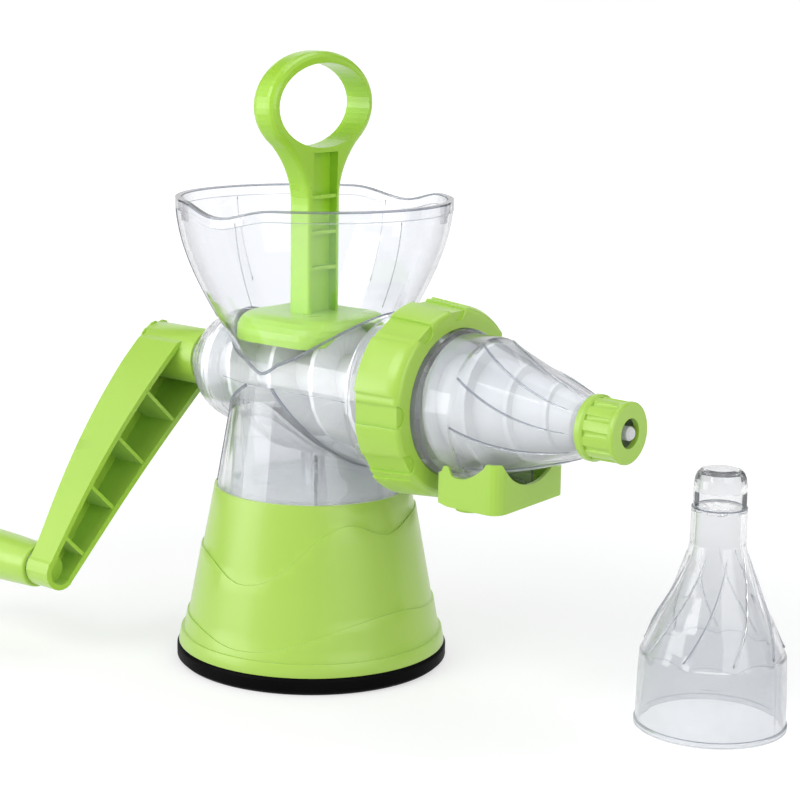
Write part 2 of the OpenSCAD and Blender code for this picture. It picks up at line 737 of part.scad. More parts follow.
// Clear outlet cone with strainer slits and rails for the tray
module cone_cover() {
    n = 12;
    xs = [for (i = [0:n]) cone_straight_x + (cone_tip_x - cone_straight_x) * i / n];
    rail_h = 20;
    color("lightcyan")
    difference() {
        union() {
            turned(concat(
                [[0, spigot_x], [bore_r - fit_gap, spigot_x], [bore_r - fit_gap, cone_x0],
                 [flange_r, cone_x0], [flange_r, cone_x0 + flange_t],
                 [ring_open_r - free_gap, cone_x0 + flange_t],
                 [ring_open_r - free_gap, cone_x0 + flange_t + 5.5], [cone_r, cone_x0 + flange_t + 7]],
                [for (x = xs) [cone_out(x), x]],
                [[neck_r, cone_tip_x], [neck_r, cone_end_x], [0, cone_end_x]]));
            on_axis() cone_ribs(cone_straight_x - 1.5, cone_tip_x - 2);
            for (side = [-1, 1])
                intersection() {
                    union() {
                        translate([rail_x0, side * rail_y - rail_t / 2, rail_z])
                            cube([rail_x1 - rail_x0, rail_t, rail_h]);
                        translate([rail_x0, side * (rail_y + lip_w / 2) - (rail_t + lip_w) / 2, rail_z])
                            cube([rail_x1 - rail_x0, rail_t + lip_w, rail_t]);
                    }
                    translate([0, -40, 0]) cube([200, 80, axis_z]);
                }
        }
        turned(concat(
            [[0, spigot_x - over], [cone_in(0), spigot_x - over]],
            [for (x = xs) [cone_in(x), x]],
            [[neck_r - cone_wall, cone_tip_x + 3], [neck_r - cone_wall, cone_end_x + over],
             [0, cone_end_x + over]]));
        for (i = [0:slit_count - 1])
            translate([slit_x0, (i - (slit_count - 1) / 2) * 3.6 - slit_w / 2, axis_z - cone_r - 3])
                cube([slit_len, slit_w, 20]);
    }
}

// Lock ring with pairs of finger slots that run over its front edge
slot_floor_r = ring_r - 1.6;
ring_taper = 1.6;
slot_front_t = 1.2;
slot_end_r = 41;
slot_pair_at = 18;
slot_spread = 16.5;
ring_x1 = 86;
ring_x0 = ring_x1 - ring_len;
ring_edge_r = 2.6;
ring_pad_t = 0.8;
ring_pad_angle = 33;
ring_front_t = ring_x1 - cone_x0 - flange_t;
module slot_cutter() {
    translate([0, slot_w / 2, 0]) rotate([90, 0, 0]) linear_extrude(slot_w) polygon([
        [ring_x0 - over, slot_floor_r], [ring_x1 + over, slot_floor_r - ring_taper],
        [ring_x1 + over, slot_floor_r + 6], [ring_x0 - over, slot_floor_r + 6]]);
    translate([ring_x1 - slot_front_t, 0, slot_end_r]) rotate([0, 90, 0])
        cylinder(r = slot_w / 2, h = slot_front_t + over);
}
module lock_ring() {
    pad_r = ring_r + ring_pad_t;
    front_r = ring_r - ring_taper;
    color(lime)
    difference() {
        union() {
            turned(concat([[0, ring_x0], [ring_r - 0.8, ring_x0], [ring_r, ring_x0 + 0.8]],
                arc_pts(front_r - ring_edge_r, ring_x1 - ring_edge_r, ring_edge_r, 4, 90, 5), [[0, ring_x1]]));
            for (i = [0:3])
                on_axis() rotate([0, 0, 90 * i + slot_pair_at - 45 - ring_pad_angle / 2])
                    rotate_extrude(angle = ring_pad_angle) polygon([
                        [front_r - 2, ring_x0], [pad_r - 0.4, ring_x0], [pad_r, ring_x0 + 0.6],
                        [front_r + ring_pad_t, ring_x1 - 3.2], [front_r - 0.2, ring_x1 - 1.4],
                        [front_r - 2, ring_x1 - 0.6]]);
        }
        rod_x(ring_x0 - over, ring_x1 - ring_front_t, collar_r + fit_gap);
        rod_x(ring_x0, ring_x1 + over, ring_open_r);
        for (i = [0:3])
            for (side = [-1, 1])
                translate([0, 0, axis_z])
                    rotate([90 * i + slot_pair_at + side * slot_spread, 0, 0]) slot_cutter();
    }
}

// Fluted cap that sets the pressure at the tip
cap_x0 = cone_tip_x;
cap_x1 = cone_end_x + 3;
module adjusting_cap() {
    color(lime)
    difference() {
        turned([
            [0, cap_x0 + 0.3], [cap_r + 0.6, cap_x0 + 0.3],
            [cap_r + 1.2, cap_x0 + 1], [cap_r + 1.2, cap_x0 + 3.4],
            [cap_r + 0.2, cap_x0 + 4.4], [cap_r, cap_x1 - 2.2], [cap_r + 0.3, cap_x1 - 1.6],
            [cap_r + 0.2, cap_x1 - 0.6], [cap_r - 0.6, cap_x1], [0, cap_x1]]);
        rod_x(cap_x0 - over, cap_x1 - 2.6, neck_r + fit_gap);
        rod_x(cap_x0, cap_x1 + over, cap_hole_r);
        for (i = [0:cap_flutes - 1])
            on_axis() rotate([0, 0, 360 / cap_flutes * i]) translate([cap_r + 1, 0, cap_x0 + 4.2])
                cylinder(r = 1.7, h = 12.2, $fn = 24);
    }
}

// Tray that hangs on the rails of the cone and catches the juice
tray_x0 = 93.5;
tray_z = 92.3;
tray_arc_r = 22.5;
tray_x1 = tray_x0 + tray_len;
tray_round = 6;
tray_far_round = 2.5;
spout_x = tray_x0 + 12;
spout_y = -14.5;
spout_r = 5;
spout_wall = 1.4;
spout_drop = 1.6;
tray_far_lift = 2.2;
// Plan of the tray with rounded upright corners
module tray_plan(inset, z0, z1) {
    translate([0, 0, z0]) linear_extrude(z1 - z0)
        polygon(concat(
            arc_pts(tray_x1 - tray_far_round, tray_half - tray_far_round, tray_far_round - inset, 0, 90, 4),
            [[tray_x0 + inset + 1, tray_half - inset], [tray_x0 + inset, tray_half - inset - 1]],
            [[tray_x0 + inset, -tray_half + inset + 1], [tray_x0 + inset + 1, -tray_half + inset]],
            arc_pts(tray_x1 - tray_round, tray_round - tray_half, tray_round - inset, -90, 0, 5)));
}
// Space above the sloping floor of the tray
module tray_above(inset, top_near, top_far) {
    half = tray_half + over;
    translate([tray_x0 - over, 0, 0]) rotate([90, 0, 90]) linear_extrude(tray_len + 2 * over)
        polygon([[-half, tray_z + inset], [half, tray_z + tray_far_lift + inset],
            [half, top_far], [tray_half - 4, top_far + 0.2], [0, top_near], [-half, top_near]]);
}
module outlet_tray() {
    near_top = 114;
    far_top = 107.2;
    ledge_z = rail_z + rail_t;
    ledge_in = rail_y + rail_t / 2 + free_gap;
    tab_wall = 1.1;
    color(lime)
    difference() {
        union() {
            difference() {
                intersection() {
                    tray_plan(0, tray_z - over, near_top + over);
                    tray_above(0, near_top, far_top);
                }
                intersection() {
                    tray_plan(tray_wall, tray_z - over, near_top + 2 * over);
                    tray_above(tray_wall, near_top + over, near_top + over);
                }
            }
            translate([spout_x, spout_y, tray_z - spout_drop])
                cylinder(r = spout_r + spout_wall, h = spout_drop + 1.4);
            for (side = [-1, 1])
                translate([rail_x0 + free_gap, side > 0 ? ledge_in : -tray_half + 0.5, ledge_z])
                    cube([rail_x1 - rail_x0 - 2 * free_gap, tray_half - 0.5 - ledge_in, tray_wall]);
        }
        translate([tray_x0 + 8, 0, axis_z - 7]) rotate([0, 90, 0]) cylinder(r = tray_arc_r, h = tray_len);
        translate([tray_x0 - over, -tray_half + tray_wall, rail_z - 0.6])
            cube([tray_wall + 2 * over, 2 * (tray_half - tray_wall), 40]);
        translate([tray_x0 - over, -tray_half + tab_wall, ledge_z + tray_wall + 3]) cube([10, 2, 12]);
        translate([0, -tray_half + tray_wall + 0.5, 0]) rotate([90, 0, 0]) linear_extrude(tray_wall + 2)
            polygon([[tray_x0 - over, 106.2],
                [tray_x0 + 2.5, 107.4], [tray_x0 + 3.4, 109.8], [tray_x0 + 6, 109.9], [tray_x0 + 8, 106],
                [tray_x0 + 11, 105.3], [tray_x0 + 15, 105.7], [tray_x0 + 20.5, 108.4],
                [tray_x0 + 24.5, 111.4], [tray_x0 + 26.5, 114], [tray_x0 + 26.5, 120], [tray_x0 - over, 120]]);
        translate([0, tray_half, 0]) rotate([90, 0, 0]) linear_extrude(2 * tray_half)
            polygon([[tray_x0 - over, tray_z + 1.6], [tray_x0 + 6, tray_z], [tray_x0 + 6, tray_z - over],
                [tray_x0 - over, tray_z - over]]);
        translate([spout_x, spout_y, tray_z - spout_drop - over]) cylinder(r = spout_r, h = 8);
    }
}

// Oval outline of the finger ring
module oval(half_w, half_h) {
    n = 48;
    polygon([for (i = [0:n - 1]) let (a = 360 * i / n) [half_w * cos(a), half_h * sin(a)]]);
}
ring_top_rim = 5.2;
ring_z = overall_top - ring_top_rim - ring_hole_high;
ring_y = -1;
shaft_recess = 4.5;
neck_z1 = overall_top - 42.4;
neck_z0 = neck_z1 - 26;
neck_blend_h = 30;
neck_spread = 12;
shaft_rib_first = 20.3;
shaft_rib_pitch = 16;
shaft_rib_t = 1.6;
recess_end = 2.5;
// Outline of the pusher, half width and height, from the foot to the top of the finger ring
ring_low = asin((neck_z1 - ring_z) / (ring_hole_high + ring_top_rim));
pusher_edge = concat(
    [[shaft_w / 2, foot_top - 3]],
    [for (i = [0:8]) let (t = i / 8)
        [shaft_w / 2 + neck_spread * pow(t, 2.2), neck_z0 + (neck_z1 - neck_z0) * t]],
    [for (i = [1:22]) let (a = ring_low + (90 - ring_low) * i / 23)
        [(ring_hole_half + ring_rim) * cos(a), ring_z + (ring_hole_high + ring_top_rim) * sin(a)]]);
// Grip part of the pusher lofted through insets of its outline, so that every outer edge is round
module pusher_grip() {
    n = len(pusher_edge);
    m = 4;
    tip = [0, overall_top];
    ahead = [for (i = [0:n - 1]) i < n - 1 ? pusher_edge[i + 1] : tip];
    behind = [for (i = [0:n - 1]) i > 0 ? pusher_edge[i - 1] : pusher_edge[0] - [0, 1]];
    right = [for (i = [0:n - 1])
        let (d = ahead[i] - behind[i], p = pusher_edge[i], share = clamp01((p[1] - neck_z0) / neck_blend_h))
        [p, i == 0 ? [1, 0] : [d[1], -d[0]] / norm(d), 1.2 + (ring_round - 1.2) * share,
            (shaft_t + (ring_depth - shaft_t) * share) / 2, ring_y * share]];
    edge = concat(
        [for (q = right) q],
        [[tip, [0, 1], ring_round, ring_depth / 2, ring_y]],
        [for (i = [n - 1:-1:0])
            let (q = right[i]) [[-q[0][0], q[0][1]], [-q[1][0], q[1][1]], q[2], q[3], q[4]]]);
    k = len(edge);
    layers = concat(
        [for (j = [0:m]) [1, 90 * j / m]],
        [for (j = [m:-1:0]) [-1, 90 * j / m]]);
    points = [for (s = layers) for (q = edge)
        [s[0] * (q[3] - q[2] * (1 - cos(s[1]))), q[0][0] + q[4] - q[1][0] * q[2] * (1 - sin(s[1])),
            q[0][1] - q[1][1] * q[2] * (1 - sin(s[1]))]];
    last = (len(layers) - 1) * k;
    sides = [for (j = [0:len(layers) - 2]) for (i = [0:k - 2])
        let (a = j * k + i)
        each [[a, a + 1, a + k + 1], [a, a + k + 1, a + k]]];
    caps = [for (i = [0:n - 1])
        each i < n - 1
        ? [[i, k - 1 - i, i + 1], [i + 1, k - 1 - i, k - 2 - i],
           [last + i, last + i + 1, last + k - 1 - i], [last + i + 1, last + k - 2 - i, last + k - 1 - i]]
        : [[n - 1, n + 1, n], [last + n - 1, last + n, last + n + 1]]];
    base = concat([for (j = [0:len(layers) - 1]) j * k], [for (j = [len(layers) - 1:-1:0]) j * k + k - 1]);
    polyhedron(points, concat(sides, caps, [base]), convexity = 6);
}
// Pusher with an oval finger ring, ribbed shaft and arched foot
module pusher() {
    foot_hx = 32.6;
    foot_hy = 29.4;
    corner_r = 20;
    arch_r = flight_max_r + 0.8;
    color(lime)
    difference() {
        union() {
            pusher_grip();
            hull()
                for (sx = [-1, 1])
                    for (sy = [-1, 1])
                        translate([sx * (foot_hx - corner_r), sy * (foot_hy - corner_r), foot_z])
                            rotate_extrude($fn = 48) polygon(concat([[0, 0], [corner_r, 0]],
                                arc_pts(corner_r - foot_round, foot_t - foot_round, foot_round, 0, 90, 5),
                                [[0, foot_t]]));
        }
        translate([-ring_depth, ring_y, ring_z]) rotate([90, 0, 90]) linear_extrude(2 * ring_depth)
            oval(ring_hole_half, ring_hole_high);
        rod_x(-50, 50, arch_r);
        difference() {
            translate([shaft_t / 2 - shaft_recess, -8, foot_top]) 
                cube([10, 16, neck_z1 - recess_end - foot_top]);
            for (i = [0:shaft_rib_count - 1])
                translate([0, -10, foot_top + shaft_rib_first + shaft_rib_pitch * i - shaft_rib_t / 2])
                    cube([shaft_t / 2 - 0.4, 20, shaft_rib_t]);
        }
    }
}

// Spare cone stood on the table, with a hood for soft ice
spare_scale_h = spare_h - 16.5;
spare_r = 32.9;
spare_wall = 2.2;
spare_prof = [[spare_r, 0], [spare_r, 1.6], [32.3, 2.2], [32.2, 10], [31.8, 25], [31.3, 32], [28.9, 37], [25.3, 46],
    [21.5, 53.5], [18.5, 60], [15.5, 68], [13.2, 74.5], [12, 80], [11.9, spare_scale_h]];
module spare_cone() {
    hood_turn = 49;
    hood_r = 11.3;
    star_t = 2;
    star_points = 8;
    n = len(spare_prof);
    color("lightcyan") translate([spare_x, spare_y, 0]) {
        difference() {
            union() {
                rotate_extrude() polygon(concat([[0, 0]], spare_prof, [
                    [hood_r, spare_scale_h], [hood_r, spare_scale_h + 4], [hood_r, spare_h - 7],
                    [10.9, spare_h - 4], [10, spare_h - 1.8], [8.6, spare_h - 0.5],
                    [6.8, spare_h], [0, spare_h]]));
                for (i = [0:cone_rib_count - 1])
                    spare_rib(360 / cone_rib_count * i);
            }
            rotate_extrude() polygon(concat([[0, -over], [spare_r - spare_wall, -over]],
                [for (i = [3:n - 2]) [spare_prof[i][0] - spare_wall, spare_prof[i][1]]],
                [[9.6, spare_scale_h - star_t], [0, spare_scale_h - star_t]]));
            translate([0, 0, spare_scale_h - star_t - over]) linear_extrude(star_t + 2 * over)
                polygon([for (i = [0:2 * star_points - 1])
                    let (a = 180 / star_points * i, r = i % 2 == 0 ? 8 : 5)
                    [r * cos(a), r * sin(a)]]);
            translate([0, 0, spare_scale_h]) cylinder(r = hood_r - 2, h = spare_h - spare_scale_h - 2);
            rotate([0, 0, -hood_turn]) translate([2, -hood_r - over, spare_scale_h + 0.4])
                cube([20, 2 * (hood_r + over), 6.6]);
        }
    }
}
module spare_rib(a0) {
    m = 8;
    z0 = 34;
    points = [for (i = [0:m])
        let (t = i / m, z = z0 + 42 * t, a = a0 + 42 * t, r = lookup(z, [for (p = spare_prof) [p[1], p[0]]]),
             d = rib_w / r * 90 / PI, h = rib_h * sin(180 * (0.05 + 0.9 * t)))
        each [[(r - 1) * cos(a - d), (r - 1) * sin(a - d), z], [(r + h) * cos(a), (r + h) * sin(a), z],
              [(r - 1) * cos(a + d), (r - 1) * sin(a + d), z]]];
    sides = [for (i = [0:m - 1]) for (k = [0:2])
        let (a = 3 * i + k, b = 3 * i + (k + 1) % 3)
        each [[a, a + 3, b + 3], [a, b + 3, b]]];
    polyhedron(points, concat(sides, [[0, 1, 2]], [[3 * m + 2, 3 * m + 1, 3 * m]]));
}

suction_foot();
suction_stem();
base_skirt();
skirt_deck();
deck_screws();
stem_nut();
press_body();
rear_bush();
front_seal();
shaft_seal();
auger();
drive_shaft();
crank_arm();
crank_knob();
grip_washer();
grip_bolt();
crank_grip();
cone_cover();
lock_ring();
adjusting_cap();
outlet_tray();
pusher();
spare_cone();
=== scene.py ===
import bpy
import math
from mathutils import Vector, Matrix


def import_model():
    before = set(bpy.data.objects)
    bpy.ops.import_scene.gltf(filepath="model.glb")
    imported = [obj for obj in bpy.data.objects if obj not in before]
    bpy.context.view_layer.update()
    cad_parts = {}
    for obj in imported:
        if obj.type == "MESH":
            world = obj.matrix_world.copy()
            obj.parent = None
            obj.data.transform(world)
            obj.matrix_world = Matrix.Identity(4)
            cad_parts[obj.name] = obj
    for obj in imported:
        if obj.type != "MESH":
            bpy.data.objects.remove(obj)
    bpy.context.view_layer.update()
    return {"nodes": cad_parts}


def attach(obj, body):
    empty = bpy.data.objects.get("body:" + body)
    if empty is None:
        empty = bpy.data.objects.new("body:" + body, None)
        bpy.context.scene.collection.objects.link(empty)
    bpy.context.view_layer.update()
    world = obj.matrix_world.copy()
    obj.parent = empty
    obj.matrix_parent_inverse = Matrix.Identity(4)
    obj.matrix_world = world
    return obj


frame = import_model()
N = frame["nodes"]

# The scene is in metres; sizes of the moulding details are in millimetres.
MM = 0.001
FULL_TURN = 2 * math.pi

# ---------------------------------------------------------------- camera
CAMERA_PLACE = (0.65379, -0.70309, 0.31430)
CAMERA_AZIMUTH = 40.54
CAMERA_ELEVATION = 11.34
CAMERA_ROLL = 0.91
CAMERA_LENS = 95.56
CAMERA_SENSOR = 36.0


def make_camera():
    data = bpy.data.cameras.new("camera")
    data.sensor_width = CAMERA_SENSOR
    data.lens = CAMERA_LENS
    data.clip_start = 0.05
    data.clip_end = 60.0
    cam = bpy.data.objects.new("camera", data)
    bpy.context.scene.collection.objects.link(cam)
    az = math.radians(CAMERA_AZIMUTH)
    el = math.radians(CAMERA_ELEVATION)
    roll = math.radians(CAMERA_ROLL)
    back = Vector((math.sin(az) * math.cos(el), -math.cos(az) * math.cos(el), math.sin(el)))
    level = Vector((math.cos(az), math.sin(az), 0))
    upright = level.cross(-back)
    right = level * math.cos(roll) + upright * math.sin(roll)
    up = -level * math.sin(roll) + upright * math.cos(roll)
    turn = Matrix((right, up, back)).transposed()
    cam.matrix_world = Matrix.Translation(Vector(CAMERA_PLACE)) @ turn.to_4x4()
    bpy.context.scene.camera = cam


make_camera()
bpy.context.scene.view_settings.view_transform = "Standard"


# ---------------------------------------------------------------- node helpers
def new_mat(name):
    m = bpy.data.materials.new(name)
    m.use_nodes = True
    nt = m.node_tree
    nt.nodes.clear()
    out = nt.nodes.new("ShaderNodeOutputMaterial")
    return m, nt, out


def add(nt, kind, **props):
    n = nt.nodes.new(kind)
    for k, v in props.items():
        setattr(n, k, v)
    return n


def put(node, **values):
    """Sets input sockets by name, with underscores for spaces."""
    for k, v in values.items():
        node.inputs[k.replace("_", " ")].default_value = v


def grey(v):
    return (v, v, v, 1)


def shaded(colour, share):
    return tuple(v * share for v in colour) + (1,)


def object_place(nt):
    return add(nt, "ShaderNodeTexCoord").outputs["Object"]


def noise(nt, scale, detail=3.0, rough=0.5, place=None):
    if place is None:
        place = object_place(nt)
    n = add(nt, "ShaderNodeTexNoise")
    put(n, Scale=scale, Detail=detail, Roughness=rough)
    nt.links.new(place, n.inputs["Vector"])
    return n.outputs["Fac"]


def ramp(nt, src, stops):
    r = add(nt, "ShaderNodeValToRGB")
    els = r.color_ramp.elements
    els[0].position, els[0].color = stops[0]
    els[1].position, els[1].color = stops[-1]
    for place, colour in stops[1:-1]:
        e = els.new(place)
        e.color = colour
    nt.links.new(src, r.inputs["Fac"])
    return r.outputs["Color"]


def height(nt, start, end, low, high, axis="Z"):
    """A value that goes from low to high along one object axis."""
    sep = add(nt, "ShaderNodeSeparateXYZ")
    nt.links.new(object_place(nt), sep.inputs["Vector"])
    mr = add(nt, "ShaderNodeMapRange")
    put(mr, From_Min=start, From_Max=end, To_Min=low, To_Max=high)
    nt.links.new(sep.outputs[axis], mr.inputs["Value"])
    return mr.outputs["Result"]


def by_height(nt, stops, top=0.22):
    """A value that follows the height above the table through the given stops."""
    z = height(nt, 0.0, top, 0.0, 1.0)
    return ramp(nt, z, [(h / top, grey(v)) for h, v in stops])


def scaled(nt, a, b):
    """Product of a socket with a socket or a number."""
    m = add(nt, "ShaderNodeMath", operation="MULTIPLY")
    nt.links.new(a, m.inputs[0])
    if isinstance(b, float):
        m.inputs[1].default_value = b
    else:
        nt.links.new(b, m.inputs[1])
    return m.outputs["Value"]


def bumped(nt, relief, depth, strength, under=None):
    bp = add(nt, "ShaderNodeBump")
    bp.inputs["Distance"].default_value = depth
    nt.links.new(relief, bp.inputs["Height"])
    if isinstance(strength, float):
        bp.inputs["Strength"].default_value = strength
    else:
        nt.links.new(strength, bp.inputs["Strength"])
    if under is not None:
        nt.links.new(under, bp.inputs["Normal"])
    return bp.outputs["Normal"]


def mixed(nt, share, first, second):
    mx = add(nt, "ShaderNodeMixShader")
    nt.links.new(share, mx.inputs["Fac"])
    nt.links.new(first, mx.inputs[1])
    nt.links.new(second, mx.inputs[2])
    return mx.outputs["Shader"]


def seen_or_mirrored(nt):
    """1 for rays from the camera, through clear parts and off gloss, else 0."""
    lp = add(nt, "ShaderNodeLightPath")
    total = lp.outputs["Is Camera Ray"]
    for ray in ("Is Transmission Ray", "Is Glossy Ray"):
        plus = add(nt, "ShaderNodeMath", operation="ADD", use_clamp=True)
        nt.links.new(total, plus.inputs[0])
        nt.links.new(lp.outputs[ray], plus.inputs[1])
        total = plus.outputs["Value"]
    return total


# ---------------------------------------------------------------- materials
def moulded(name, dark, light, rough=(0.26, 0.36), sss=0.12, coat=0.12, bump=0.05, grain=900.0,
            gloss=0.5, ior=1.5, front=None, sheen=0.0):
    """Moulded plastic: slow tone drift, uneven gloss and a fine orange peel.

    front is a start, an end and a share: painted shade, the tone falls to that share along X.
    """
    m, nt, out = new_mat(name)
    b = add(nt, "ShaderNodeBsdfPrincipled")
    colour = ramp(nt, noise(nt, 14.0, 2.0), [(0.35, (*dark, 1)), (0.68, (*light, 1))])
    # Painted shade: the colour darkens along X from start to end, down to share.
    if front:
        start, end, share = front
        front_shade = add(nt, "ShaderNodeVectorMath", operation="SCALE")
        nt.links.new(colour, front_shade.inputs[0])
        nt.links.new(height(nt, start, end, 1.0, share, "X"), front_shade.inputs["Scale"])
        colour = front_shade.outputs["Vector"]
    nt.links.new(colour, b.inputs["Base Color"])
    dullness = ramp(nt, noise(nt, 60.0, 4.0, 0.6), [(0.3, grey(rough[0])), (0.7, grey(rough[1]))])
    nt.links.new(dullness, b.inputs["Roughness"])
    put(b, Subsurface_Weight=sss, Subsurface_Radius=(0.004, 0.006, 0.0015), Subsurface_Scale=0.6)
    put(b, Coat_Weight=coat, Coat_Roughness=0.18, IOR=ior, Specular_IOR_Level=gloss)
    put(b, Sheen_Weight=sheen, Sheen_Roughness=0.45)
    peel = add(nt, "ShaderNodeMath", operation="ADD")
    nt.links.new(noise(nt, grain, 2.0), peel.inputs[0])
    nt.links.new(noise(nt, 120.0, 2.0), peel.inputs[1])
    nt.links.new(bumped(nt, peel.outputs["Value"], 0.0006, bump), b.inputs["Normal"])
    nt.links.new(b.outputs["BSDF"], out.inputs["Surface"])
    return m


def tint_with_painted_shade(nt, tint, rim, painted_shading_at):
    """The wall's tint, with painted shade where it is seen edge on, and painted shade or painted light by
    height if asked.
    """
    # rim is the colour of painted shade where the wall is seen edge on.
    lw = add(nt, "ShaderNodeLayerWeight")
    lw.inputs["Blend"].default_value = 0.5
    colour = ramp(nt, lw.outputs["Facing"], [(0.0, shaded(tint, 1.0)), (0.55, shaded(tint, 0.965)),
                                             (0.80, shaded(tint, 0.78)), (0.96, (*rim, 1))])
    if not painted_shading_at:
        return colour
    height_shading = add(nt, "ShaderNodeGamma")
    nt.links.new(colour, height_shading.inputs["Color"])
    nt.links.new(scaled(nt, by_height(nt, painted_shading_at), 4.0), height_shading.inputs["Gamma"])
    return height_shading.outputs["Color"]


def flow_normal(nt, bump, streaks):
    """Soft flow marks, and upright streaks in the column below the barrel."""
    normal = bumped(nt, noise(nt, 30.0, 2.0, 0.4), 0.002, bump)
    if not streaks:
        return normal
    drawn_out = add(nt, "ShaderNodeMapping")
    drawn_out.inputs["Scale"].default_value = (1.0, 1.0, 0.12)
    nt.links.new(object_place(nt), drawn_out.inputs["Vector"])
    relief = noise(nt, 110.0, 2.0, 0.45, place=drawn_out.outputs["Vector"])
    below_barrel = height(nt, 0.104, 0.118, 1.0, 0.0)
    return bumped(nt, relief, 0.003, scaled(nt, below_barrel, streaks), under=normal)


def haze_share(nt, haze, haze_at):
    """How much of the wall is milky: cloudy, and by height if asked."""
    cloud = noise(nt, 22.0, 4.0, 0.6)
    share = ramp(nt, cloud, [(0.3, grey(haze * 0.5)), (0.75, grey(haze * 1.7))])
    if haze_at:
        share = scaled(nt, share, by_height(nt, haze_at))
    return share


def clear(name, tint, rim, haze=0.06, rough=0.02, ior=1.45, bump=0.03, haze_at=None, painted_shading_at=None,
          streaks=0.0):
    """Clear moulding: refracts, keeps a light shadow, with faint flow marks and haze, and painted shade
    at the edges.

    haze_at and the shade stops are of height in metres and share: in the shade stops 0.25 keeps the tint,
    more is painted shade and less is painted light.
    """
    m, nt, out = new_mat(name)
    b = add(nt, "ShaderNodeBsdfPrincipled")
    put(b, Transmission_Weight=1.0, IOR=ior)
    nt.links.new(tint_with_painted_shade(nt, tint, rim, painted_shading_at), b.inputs["Base Color"])
    dullness = ramp(nt, noise(nt, 45.0, 3.0, 0.6), [(0.35, grey(rough)), (0.75, grey(rough + 0.05))])
    nt.links.new(dullness, b.inputs["Roughness"])
    nt.links.new(flow_normal(nt, bump, streaks), b.inputs["Normal"])
    milk = add(nt, "ShaderNodeBsdfPrincipled")
    put(milk, Base_Color=(0.80, 0.815, 0.84, 1), Roughness=0.45)
    wall = mixed(nt, haze_share(nt, haze, haze_at), b.outputs["BSDF"], milk.outputs["BSDF"])
    shadow = add(nt, "ShaderNodeBsdfTransparent")
    put(shadow, Color=(0.93, 0.945, 0.95, 1))
    lp = add(nt, "ShaderNodeLightPath")
    surface = mixed(nt, lp.outputs["Is Shadow Ray"], wall, shadow.outputs["BSDF"])
    nt.links.new(surface, out.inputs["Surface"])
    return m


def steel(name):
    m, nt, out = new_mat(name)
    b = add(nt, "ShaderNodeBsdfPrincipled")
    b.inputs["Metallic"].default_value = 1.0
    marks = noise(nt, 220.0, 4.0, 0.7)
    nt.links.new(ramp(nt, marks, [(0.3, grey(0.52)), (0.7, grey(0.66))]), b.inputs["Base Color"])
    nt.links.new(ramp(nt, marks, [(0.3, grey(0.22)), (0.7, grey(0.38))]), b.inputs["Roughness"])
    nt.links.new(b.outputs["BSDF"], out.inputs["Surface"])
    return m


LIME = moulded("lime_plastic", (0.362, 0.605, 0.056), (0.392, 0.635, 0.068), rough=(0.30, 0.40),
               sss=0.05, coat=0.25, sheen=0.25)
LIME_SHELL = moulded("lime_shell", (0.378, 0.595, 0.070), (0.403, 0.620, 0.082), rough=(0.34, 0.44),
                     sss=0.06, coat=0.25, grain=700.0, sheen=0.3)
LIME_PUSHER = moulded("lime_pusher", (0.338, 0.628, 0.022), (0.362, 0.655, 0.032), sss=0.05,
                      coat=0.25, sheen=0.1)
WHITE = moulded("white_plastic", (0.66, 0.67, 0.685), (0.72, 0.73, 0.745), rough=(0.34, 0.46),
                sss=0.05, coat=0.05)
# The auger darkens towards its front, inside the cone, as painted shade.
AUGER = moulded("auger_plastic", (0.80, 0.81, 0.82), (0.85, 0.86, 0.87), rough=(0.34, 0.46),
                sss=0.05, coat=0.05, front=(0.060, 0.105, 0.80))
RUBBER = moulded("black_rubber", (0.002, 0.002, 0.002), (0.004, 0.004, 0.004), rough=(0.40, 0.52),
                 sss=0.0, coat=0.0, bump=0.12, grain=1400.0, gloss=0.06, ior=1.3)
SEAL = moulded("silicone", (0.60, 0.61, 0.61), (0.68, 0.69, 0.69), rough=(0.45, 0.6), sss=0.3,
               coat=0.0)
STEEL = steel("stainless")
# Painted shade at the edges, and painted shade above the top of the barrel, over the hopper.
CLEAR = clear("clear_plastic", (0.960, 0.965, 0.978), (0.28, 0.31, 0.37), haze=0.30, streaks=0.12,
              haze_at=((0.080, 0.90), (0.090, 0.42), (0.114, 0.36), (0.122, 0.50), (0.136, 0.45),
                       (0.150, 0.06)),
              painted_shading_at=((0.150, 0.25), (0.168, 0.50)))
# Painted shade at the edges, and painted shade over the top of the cone.
CLEAR_CONE = clear("clear_cone", (0.900, 0.908, 0.922), (0.24, 0.26, 0.32), haze=0.14, rough=0.08,
                   haze_at=((0.118, 1.0), (0.150, 0.45)), painted_shading_at=((0.132, 0.25), (0.158, 0.60)))
# Painted shade at the edges and at the foot, and painted light towards the top of the spare cone.
CLEAR_SPARE = clear("clear_spare", (0.800, 0.808, 0.825), (0.34, 0.36, 0.40), haze=0.18, bump=0.08,
                    haze_at=((0.028, 0.95), (0.036, 0.35), (0.080, 0.30)),
                    painted_shading_at=((0.030, 0.34), (0.040, 0.25), (0.060, 0.24), (0.080, 0.14),
                              (0.115, 0.10)))
# Dark tints for beads and lines: painted shade along edges, joints and ribs of the clear walls; the fine
# lines follow real moulding lines, tinted darker as painted shade.
SHADE_BEAD = clear("clear_bead_painted_shade", (0.38, 0.41, 0.48), (0.16, 0.18, 0.24), haze=0.08)
DEEP_SHADE = clear("clear_deep_painted_shade", (0.22, 0.24, 0.29), (0.12, 0.14, 0.18), haze=0.06)
FINE_SHADE = clear("clear_fine_painted_shade", (0.72, 0.74, 0.78), (0.40, 0.42, 0.46), haze=0.10)

